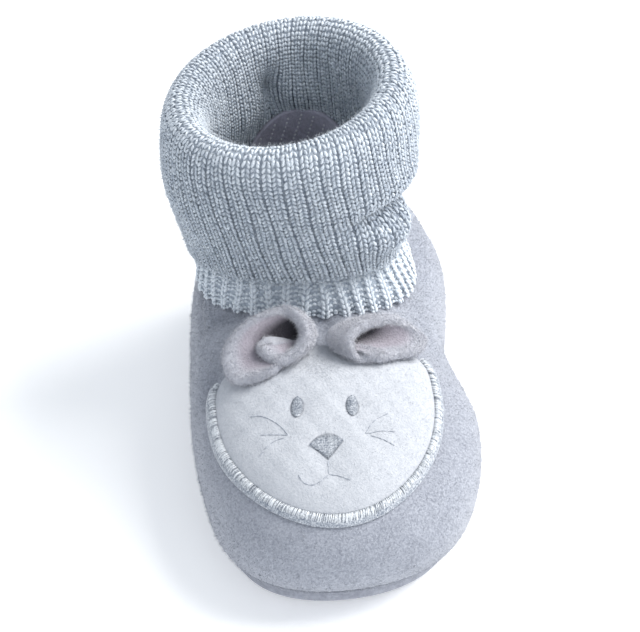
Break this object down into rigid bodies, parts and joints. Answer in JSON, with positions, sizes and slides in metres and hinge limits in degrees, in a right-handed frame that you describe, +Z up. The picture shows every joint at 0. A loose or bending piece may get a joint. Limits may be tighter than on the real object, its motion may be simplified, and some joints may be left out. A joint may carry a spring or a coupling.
{
  "type": "bootie slipper",
  "caption": "Soft bootie slipper with a velour upper, a fabric sole, a turned-down rib-knit cuff and a rabbit's face with curled ears on the vamp.",
  "frame": {"origin": "on the floor under the middle of the sole", "axes": "+Z up, -Y towards the toe, +X towards the outer side of the foot"},
  "size_m": [0.0665, 0.1212, 0.0893],
  "materials": {
    "velour": "soft grey cotton velour with a short nap",
    "rib_knit": "blue-grey heather wool rib knit",
    "sole_fabric": "grey woven cotton with a faint twill",
    "insole_fabric": "mauve-grey brushed cotton",
    "plush": "off-white short plush",
    "satin_stitch": "grey satin stitch with a silky thread",
    "ear_felt": "light grey felt with a fuzzy edge"
  },
  "bodies": {
    "root": {"upper": "velour", "cuff": "rib_knit", "sole": "sole_fabric", "insole": "insole_fabric", "face": "plush", "face_border": "satin_stitch", "ear_inner": "ear_felt", "ear_outer": "ear_felt"}
  },
  "joints": []
}
